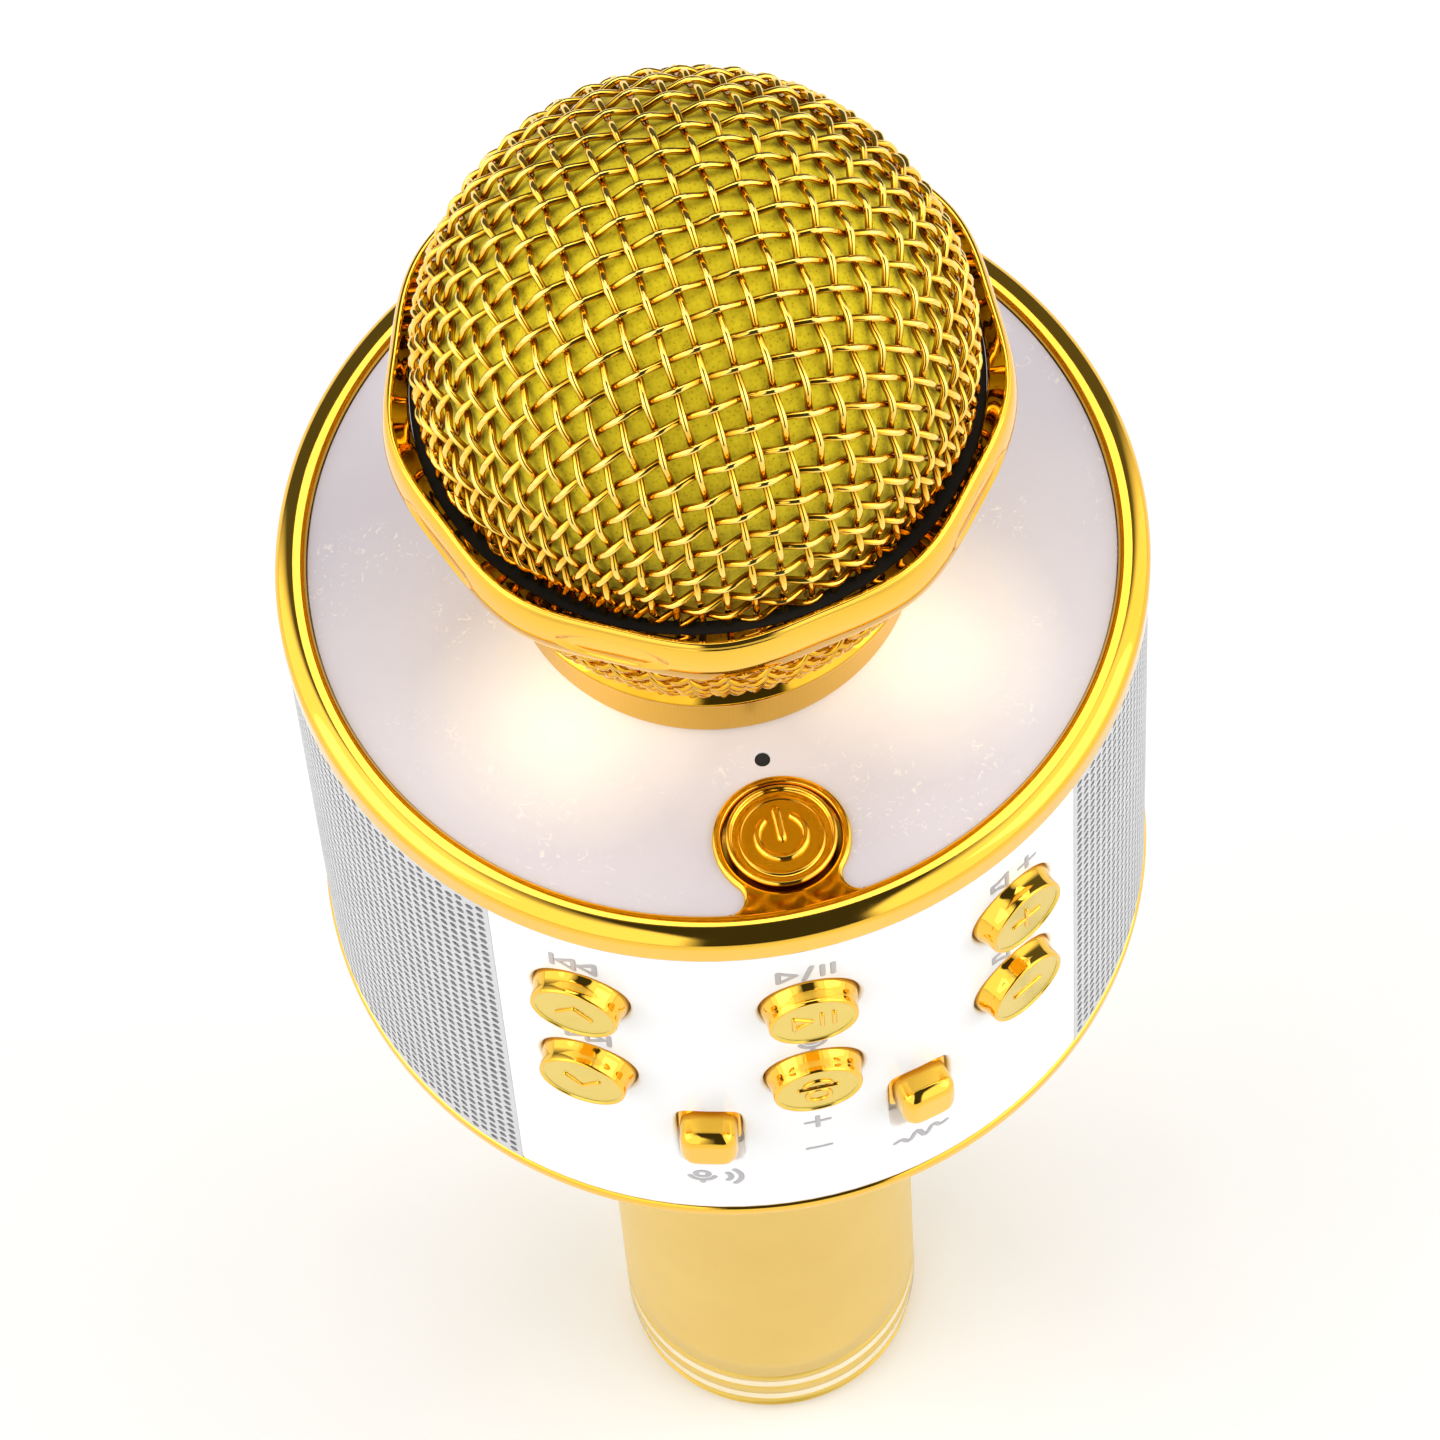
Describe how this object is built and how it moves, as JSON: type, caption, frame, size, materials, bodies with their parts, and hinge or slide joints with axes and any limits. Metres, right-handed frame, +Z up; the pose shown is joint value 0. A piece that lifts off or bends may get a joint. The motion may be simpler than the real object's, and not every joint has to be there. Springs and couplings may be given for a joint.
{
  "type": "karaoke microphone",
  "caption": "Wireless karaoke microphone: woven wire ball grille with a faceted hoop, drum housing with side speakers, push buttons and sliders, and a straight handle.",
  "frame": {"origin": "centre of the handle's flat end, which it stands on", "axes": "+Z up the handle towards the ball grille, control panel facing -Y, +X to the right as seen from the front"},
  "size_m": [0.084, 0.0859, 0.2413],
  "materials": {
    "satin_gold": "satin gold anodised",
    "bright_gold": "bright gold metallised plastic",
    "gold_wire": "bright gold-plated woven wire",
    "white_gloss": "glossy white",
    "frosted_plate": "frosted translucent acrylic",
    "silver_mesh": "silver-painted perforated steel",
    "foam": "open-cell foam",
    "black_plastic": "moulded matte black",
    "grey_plastic": "moulded grey",
    "black_rubber": "soft matte rubber",
    "circuit_board": "solder-masked glass-epoxy board",
    "steel": "nickel-plated",
    "warm_light": "phosphor-coated light",
    "cone_paper": "pressed paper",
    "battery_wrap": "shrink-wrapped cell"
  },
  "bodies": {
    "housing": {"aux_jack": "black_plastic", "base_bezel": "bright_gold", "base_cover": "satin_gold", "base_screw_1": "steel", "base_screw_2": "steel", "base_screw_3": "steel", "battery": "battery_wrap", "battery_cradle": "black_plastic", "capsule_boot": "black_rubber", "capsule_post": "black_plastic", "card_slot": "steel", "charge_port": "steel", "chassis": "grey_plastic", "control_board": "circuit_board", "front_panel": "white_gloss", "handle_end_cap": "satin_gold", "handle_nut": "steel", "handle_tube": "satin_gold", "light_board": "circuit_board", "light_front_left": "warm_light", "light_front_right": "warm_light", "light_rear": "warm_light", "main_board": "circuit_board", "mic_capsule": "steel", "neck_ring": "black_plastic", "power_switch": "black_plastic", "rear_panel": "white_gloss", "slide_pot_effect": "grey_plastic", "slide_pot_mic_volume": "grey_plastic", "speaker_frame_left": "black_plastic", "speaker_frame_right": "black_plastic", "speaker_grille_left": "silver_mesh", "speaker_grille_right": "silver_mesh", "speaker_magnet_left": "steel", "speaker_magnet_right": "steel", "switch_microphone": "black_plastic", "switch_next": "black_plastic", "switch_play": "black_plastic", "switch_previous": "black_plastic", "switch_volume_down": "black_plastic", "switch_volume_up": "black_plastic", "top_bezel": "bright_gold", "top_plate": "frosted_plate"},
    "grille_lift": {"grille_seal": "black_rubber"},
    "grille": {"grille_dome": "gold_wire", "grille_bowl": "gold_wire", "grille_band": "bright_gold", "grille_collar": "satin_gold", "foam_liner": "foam"},
    "power_button": {"power_button": "bright_gold"},
    "button_previous": {"button_previous": "bright_gold"},
    "button_play": {"button_play": "bright_gold"},
    "button_volume_up": {"button_volume_up": "bright_gold"},
    "button_next": {"button_next": "bright_gold"},
    "button_microphone": {"button_microphone": "bright_gold"},
    "button_volume_down": {"button_volume_down": "bright_gold"},
    "slider_mic_volume": {"slider_mic_volume": "bright_gold"},
    "slider_effect": {"slider_effect": "bright_gold"},
    "cone_left": {"speaker_cone_left": "cone_paper"},
    "cone_right": {"speaker_cone_right": "cone_paper"}
  },
  "joints": [
    {"name": "grille_lift", "type": "slide", "parent": "housing", "child": "grille_lift", "axis": [0, 0, 1], "range_m": [0, 0.00451]},
    {"name": "grille_turn", "type": "hinge", "parent": "grille_lift", "child": "grille", "pos_m": [0, 0, 0.18], "axis": [0, 0, 1], "range_deg": [0, 1080]},
    {"name": "power_press", "type": "slide", "parent": "housing", "child": "power_button", "axis": [0, 0, -1], "range_m": [0, 0.0005], "stiffness_N_per_m": 400},
    {"name": "previous_press", "type": "slide", "parent": "housing", "child": "button_previous", "axis": [0.5075, 0.8616, 0], "range_m": [0, 0.0005], "stiffness_N_per_m": 400},
    {"name": "play_press", "type": "slide", "parent": "housing", "child": "button_play", "axis": [0, 1, 0], "range_m": [0, 0.0005], "stiffness_N_per_m": 400},
    {"name": "volume_up_press", "type": "slide", "parent": "housing", "child": "button_volume_up", "axis": [-0.5075, 0.8616, 0], "range_m": [0, 0.0005], "stiffness_N_per_m": 400},
    {"name": "next_press", "type": "slide", "parent": "housing", "child": "button_next", "axis": [0.5075, 0.8616, 0], "range_m": [0, 0.0005], "stiffness_N_per_m": 400},
    {"name": "microphone_press", "type": "slide", "parent": "housing", "child": "button_microphone", "axis": [0, 1, 0], "range_m": [0, 0.0005], "stiffness_N_per_m": 400},
    {"name": "volume_down_press", "type": "slide", "parent": "housing", "child": "button_volume_down", "axis": [-0.5075, 0.8616, 0], "range_m": [0, 0.0005], "stiffness_N_per_m": 400},
    {"name": "mic_volume_slide", "type": "slide", "parent": "housing", "child": "slider_mic_volume", "axis": [0, 0, -1], "range_m": [0, 0.0044]},
    {"name": "effect_slide", "type": "slide", "parent": "housing", "child": "slider_effect", "axis": [0, 0, -1], "range_m": [0, 0.0044]},
    {"name": "cone_left_travel", "type": "slide", "parent": "housing", "child": "cone_left", "axis": [-1, 0, 0], "range_m": [-0.001, 0.001], "stiffness_N_per_m": 800},
    {"name": "cone_right_travel", "type": "slide", "parent": "housing", "child": "cone_right", "axis": [1, 0, 0], "range_m": [-0.001, 0.001], "stiffness_N_per_m": 800}
  ],
  "couplings": [
    {"joint": "grille_lift", "follows": "grille_turn", "m_per_rad": 0.00023873}
  ]
}
